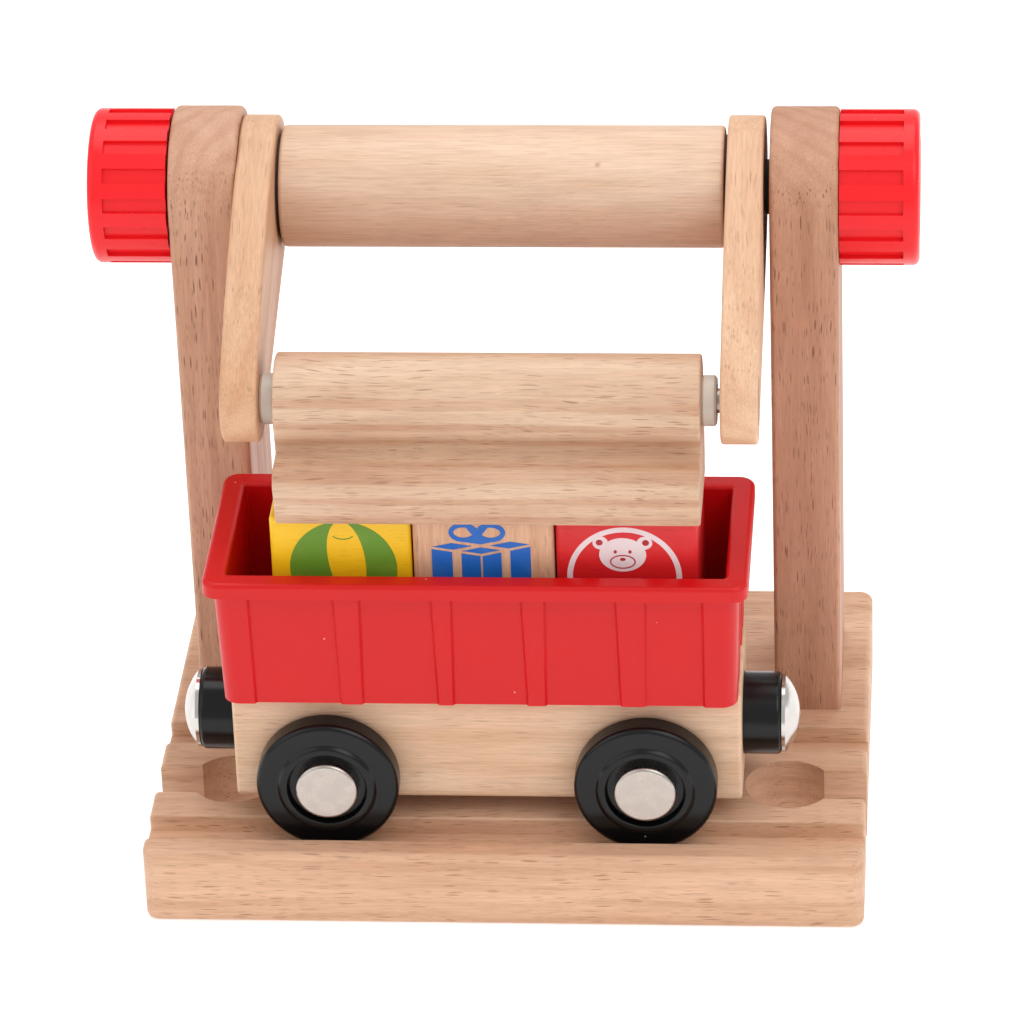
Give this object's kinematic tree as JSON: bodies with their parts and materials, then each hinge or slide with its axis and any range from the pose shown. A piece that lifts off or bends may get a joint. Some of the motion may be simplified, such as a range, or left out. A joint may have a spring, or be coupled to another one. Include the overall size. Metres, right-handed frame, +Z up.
{
  "type": "toy railway lifting gantry",
  "caption": "Wooden toy railway gantry whose knob-turned swing arms lift cargo blocks from a tub wagon standing on its track base.",
  "frame": {"origin": "on the table under the middle of the whole object", "axes": "+X along the track, +Y from the track side towards the posts, +Z up"},
  "size_m": [0.1202, 0.076, 0.1057],
  "materials": {
    "beech_base": "sanded, unlacquered look",
    "beech_post": "sanded",
    "beech_arm": "sanded",
    "beech_roller": "turned and sanded",
    "beech_grab": "moulded profile, sanded",
    "beech_chassis": "sanded",
    "red_abs": "glossy moulded",
    "red_tub": "satin gloss moulded",
    "black_plastic": "glossy moulded",
    "black_washer": "matte",
    "nickel": "bright nickel plate",
    "steel": "zinc plated",
    "nylon": "translucent",
    "magnet": "nickel plated magnet",
    "yellow_paint": "painted",
    "natural_block": "sanded",
    "red_paint": "painted"
  },
  "bodies": {
    "root": {"base_track": "beech_base", "post_left": "beech_post", "post_right": "beech_post", "post_bush_left": "black_plastic", "post_bush_right": "black_plastic", "post_screws": "steel"},
    "lift": {"lift_shaft": "steel", "knob_left": "red_abs", "knob_right": "red_abs", "arm_left": "beech_arm", "arm_right": "beech_arm", "roller": "beech_roller", "roller_washer_left": "black_washer", "roller_washer_right": "black_washer"},
    "grab": {"grab_block": "beech_grab", "grab_magnets": "magnet", "grab_collar_left": "nylon", "grab_collar_right": "nylon", "grab_pin_left": "steel", "grab_pin_right": "steel"},
    "wagon": {"chassis": "beech_chassis", "tub": "red_tub", "tub_screws": "steel", "coupler_cup_left": "black_plastic", "coupler_cup_right": "black_plastic", "coupler_screw_left": "steel", "coupler_screw_right": "steel"},
    "wheelset_left": {"axle_left": "steel", "wheel_left_front": "black_plastic", "wheel_left_back": "black_plastic", "hub_cap_left_front": "nickel", "hub_cap_left_back": "nickel"},
    "coupler_head_left": {"coupler_magnet_left": "magnet", "coupler_cap_left": "nickel"},
    "wheelset_right": {"axle_right": "steel", "wheel_right_front": "black_plastic", "wheel_right_back": "black_plastic", "hub_cap_right_front": "nickel", "hub_cap_right_back": "nickel"},
    "coupler_head_right": {"coupler_magnet_right": "magnet", "coupler_cap_right": "nickel"},
    "load_yellow": {"cargo_yellow": "yellow_paint", "cargo_plate_yellow": "steel"},
    "load_natural": {"cargo_natural": "natural_block", "cargo_plate_natural": "steel"},
    "load_red": {"cargo_red": "red_paint", "cargo_plate_red": "steel"}
  },
  "joints": [
    {"name": "lift_turn", "type": "hinge", "parent": "root", "child": "lift", "pos_m": [0, 0.0145, 0.094], "axis": [-1, 0, 0], "range_deg": [0, 285]},
    {"name": "grab_hang", "type": "hinge", "parent": "lift", "child": "grab", "pos_m": [0, -0.021, 0.0782], "axis": [-1, 0, 0], "range_deg": [-285, 0]},
    {"name": "wagon_roll", "type": "slide", "parent": "root", "child": "wagon", "axis": [1, 0, 0], "range_m": [-0.024, 0.024]},
    {"name": "wheels_left", "type": "hinge", "parent": "wagon", "child": "wheelset_left", "pos_m": [-0.02505, -0.018, 0.01965], "axis": [0, 1, 0], "continuous": true},
    {"name": "wheels_right", "type": "hinge", "parent": "wagon", "child": "wheelset_right", "pos_m": [0.02125, -0.018, 0.01965], "axis": [0, 1, 0], "continuous": true},
    {"name": "coupler_spin_left", "type": "hinge", "parent": "wagon", "child": "coupler_head_left", "pos_m": [-0.0445, -0.018, 0.02445], "axis": [1, 0, 0], "continuous": true},
    {"name": "coupler_spin_right", "type": "hinge", "parent": "wagon", "child": "coupler_head_right", "pos_m": [0.0407, -0.018, 0.02445], "axis": [1, 0, 0], "continuous": true},
    {"name": "load_yellow_drop", "type": "slide", "parent": "wagon", "child": "load_yellow", "axis": [0, 0, 1], "range_m": [-0.0075, 0]},
    {"name": "load_natural_drop", "type": "slide", "parent": "wagon", "child": "load_natural", "axis": [0, 0, 1], "range_m": [-0.0075, 0]},
    {"name": "load_red_drop", "type": "slide", "parent": "wagon", "child": "load_red", "axis": [0, 0, 1], "range_m": [-0.0075, 0]}
  ],
  "couplings": [
    {"joint": "grab_hang", "follows": "lift_turn", "ratio": -1},
    {"joint": "wheels_left", "follows": "wagon_roll", "rad_per_m": 95.694},
    {"joint": "wheels_right", "follows": "wagon_roll", "rad_per_m": 95.694}
  ]
}
